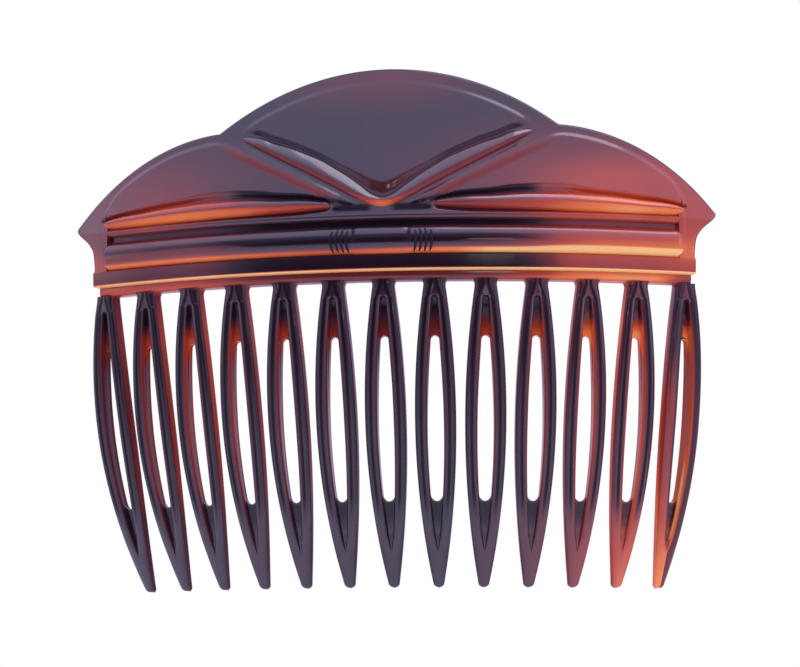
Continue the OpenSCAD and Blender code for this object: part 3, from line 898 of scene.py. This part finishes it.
def tooth_rows():
    """Places of a tooth's rings along it, close together where its section changes fast: at the
    root, and at the round ends of the groove, the slot and the tip."""
    root, fillet_end, tip_start = RAIL_H - 0.1, 2.2, TOOTH_L - TIP_R
    groove_round, slot_round, slot_end_round = 0.6, 1.0, 1.2
    stretches = [
        np.linspace(root, fillet_end, 9),
        np.linspace(fillet_end, GROOVE_TOP, 5),
        GROOVE_TOP + groove_round * np.linspace(0, 1, 7) ** 2,
        np.linspace(GROOVE_TOP + groove_round, SLOT_TOP, 14),
        SLOT_TOP + slot_round * np.linspace(0, 1, 10) ** 2,
        np.linspace(SLOT_TOP + slot_round, SLOT_END - slot_end_round, 40),
        SLOT_END - slot_end_round * np.linspace(1, 0, 12) ** 2,
        np.linspace(SLOT_END, GROOVE_END, 22),
        np.linspace(GROOVE_END, tip_start, 8)]
    tip = tip_start + TIP_R * np.sin(np.linspace(0, pi / 2 - 0.12, 10))
    return np.concatenate([stretch[:-1] for stretch in stretches] + [tip])


def tooth_faces(size, open_row):
    """Faces of the two halves, each a grid that also closes round the slot where that is open."""
    rows = len(open_row)
    faces = []
    for start in (0, rows * size):
        faces += grid_faces(rows, size, start)
        faces += [(start + i * size + size - 1, start + i * size,
                   start + (i + 1) * size, start + (i + 1) * size + size - 1)
                  for i in range(rows - 1) if open_row[i] or open_row[i + 1]]
    for row in (0, rows - 1):
        right = range(row * size, (row + 1) * size)
        left = reversed(range((rows + row) * size, (rows + row + 1) * size))
        faces.append((*right, *left))
    return faces


def end_tooth_glow(h, glow):
    """Painted glow and shade for the twisted tooth, which shows its left side: that side is painted
    red with a painted dark strip along the slot, and the inside of its right leg is painted bright."""
    point, h = np.arange(glow.shape[1])[None, :], h[:, None]
    bright = glow * (1 + 0.25 * smooth((h - 22) / 6))
    right = np.where(point >= LAST_GROOVE_POINT, -0.7, bright)
    inner = -0.6 * smooth((37 - h) / 1.5) * smooth((h - 3) / 1.5)
    outer = 0.75 * smooth((h - 9) / 8) - 0.5
    left = np.where(point <= LAST_GROOVE_POINT, inner,
                    np.where(point <= LAST_FRONT_POINT, outer, 0.8 * glow))
    return [np.where(point > LAST_SIDE_POINT, glow, half) for half in (right, left)]


def make_tooth(number):
    """A tooth as two mirrored halves, numbered from the left."""
    last = number == TOOTH_COUNT
    h = tooth_rows()
    section = tooth_half(h, END_ROOT_FILLET if last or number == 1 else ROOT_FILLET)
    across, depth, glow = (np.stack(values, axis=1) for values in zip(*section))
    depth = depth - (tooth_thick(h) / 2)[:, None]
    down = 0 * depth - h[:, None]
    turn = (tooth_twist(h) if last else 0 * h)[:, None]
    points = np.concatenate([
        np.stack([side * across * np.cos(turn) - depth * np.sin(turn),
                  side * across * np.sin(turn) + depth * np.cos(turn) + tooth_centre(h)[:, None],
                  down], axis=-1).reshape(-1, 3)
        for side in (1, -1)])
    place = np.array(Matrix.Translation((0, AXIS_Y, 0))
                     @ Matrix.Rotation((number - (TOOTH_COUNT + 1) / 2) * TOOTH_PITCH, 4, "Z")
                     @ Matrix.Translation((0, -FRONT_R, 0)))
    points = (points @ place[:3, :3].T + place[:3, 3]) * MM
    name = f"tooth_{number:02d}"
    make_piece(name, points, tooth_faces(across.shape[1], slot_w(h) > 1e-6), [name],
               np.array(end_tooth_glow(h, glow) if last else [glow, glow]), dull=0.95)


make_rail()
for number in range(1, TOOTH_COUNT + 1):
    make_tooth(number)


# ---- Studio ----

def make_floor():
    """A pale floor a little below the teeth."""
    mesh = bpy.data.meshes.new("floor")
    half, low = 0.16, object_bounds()[0][2] - 0.04
    mesh.from_pydata([(-half, -half, low), (half, -half, low), (half, half, low), (-half, half, low)],
                     [], [(0, 1, 2, 3)])
    floor = bpy.data.objects.new("floor", mesh)
    bpy.context.scene.collection.objects.link(floor)
    material = bpy.data.materials.new("floor")
    material.use_nodes = True
    material.node_tree.nodes["Principled BSDF"].inputs["Base Color"].default_value = (0.9, 0.9, 0.9, 1)
    mesh.materials.append(material)


SKY_STRENGTH = 4.0
SKY_STEPS = [
    (0.00, (0.9, 1.1, 1.7)),
    (0.45, (0.8, 0.8, 1.2)),
    (0.55, (0.8, 0.75, 1.15)),
    (0.68, (0.9, 0.9, 1.4)),
    (0.80, (1.0, 1.1, 1.7)),
    (0.92, (1.1, 1.35, 2.0)),
    (1.00, (1.2, 1.45, 2.1)),
]

# The dark patch straight ahead of the comb, as directions across and up
DARK_MIDDLE = (-0.09, 0.08)
DARK_HALF = (0.50, 0.30)


def make_world():
    """Seen directly the studio is white. What it sheds is bright above and dark straight ahead."""
    world = bpy.data.worlds.new("studio")
    bpy.context.scene.world = world
    world.use_nodes = True
    nodes = Nodes(world.node_tree)
    split = nodes.add("SeparateXYZ")
    nodes.link(nodes.add("TexCoord").outputs["Generated"], split.inputs[0])
    x, y, z = (split.outputs[axis] for axis in "XYZ")
    height = nodes.math("MULTIPLY_ADD", z, 0.5, 0.5)
    steps = [(place, tuple(c / SKY_STRENGTH for c in colour)) for place, colour in SKY_STEPS]
    shed = world.node_tree.nodes["Background"]
    nodes.link(nodes.ramp(height, steps), shed.inputs["Color"])
    offsets = [nodes.math("DIVIDE", nodes.math("SUBTRACT", axis, middle), half)
               for axis, middle, half in zip((x, z), DARK_MIDDLE, DARK_HALF)]
    squares = [nodes.math("MULTIPLY", offset, offset) for offset in offsets]
    fade = nodes.add("MapRange", interpolation_type="SMOOTHSTEP")
    nodes.link(nodes.math("ADD", *squares), fade.inputs["Value"])
    for socket, value in (("From Min", 0.3), ("From Max", 1.5), ("To Min", 0.97), ("To Max", 0)):
        fade.inputs[socket].default_value = value
    ahead = nodes.math("MULTIPLY", fade.outputs["Result"], nodes.math("LESS_THAN", y, 0))
    light_left = nodes.math("SUBTRACT", 1.0, ahead)
    nodes.link(nodes.math("MULTIPLY", light_left, SKY_STRENGTH), shed.inputs["Strength"])
    seen = nodes.add("Background")
    seen.inputs["Color"].default_value = (1, 1, 1, 1)
    mix = nodes.add("MixShader")
    nodes.link(nodes.add("LightPath").outputs["Is Camera Ray"], mix.inputs["Fac"])
    nodes.link(shed.outputs[0], mix.inputs[1])
    nodes.link(seen.outputs[0], mix.inputs[2])
    nodes.link(mix.outputs[0], world.node_tree.nodes["World Output"].inputs["Surface"])


def make_light(name, azimuth, elevation, distance, size, power, colour):
    """A soft box that faces the comb. Azimuth 0 is in front of it and 90 to its right."""
    azimuth, elevation = radians(azimuth), radians(elevation)
    way = Vector((sin(azimuth) * cos(elevation), -cos(azimuth) * cos(elevation), sin(elevation)))
    light = bpy.data.lights.new(name, "AREA")
    light.shape = "RECTANGLE"
    light.size, light.size_y = size
    light.energy = power
    light.color = colour
    lamp = bpy.data.objects.new(name, light)
    lamp.matrix_world = (Matrix.Translation(way * distance)
                         @ way.to_track_quat("Z", "Y").to_matrix().to_4x4())
    bpy.context.scene.collection.objects.link(lamp)


make_floor()
make_world()
make_light("key", 95, 76, 0.6, (0.34, 0.34), 1.0, (1.0, 0.82, 0.95))
make_light("fill_left", -70, 15, 0.6, (0.25, 0.4), 0.2, (0.95, 0.93, 1.0))
make_light("fill_right", 75, 15, 0.6, (0.25, 0.4), 0.35, (1.0, 0.95, 0.95))
make_light("glint_right", 13, 4, 0.6, (0.09, 0.012), 0.04, (1.0, 1.0, 1.0))
bpy.context.scene.view_settings.view_transform = "Standard"
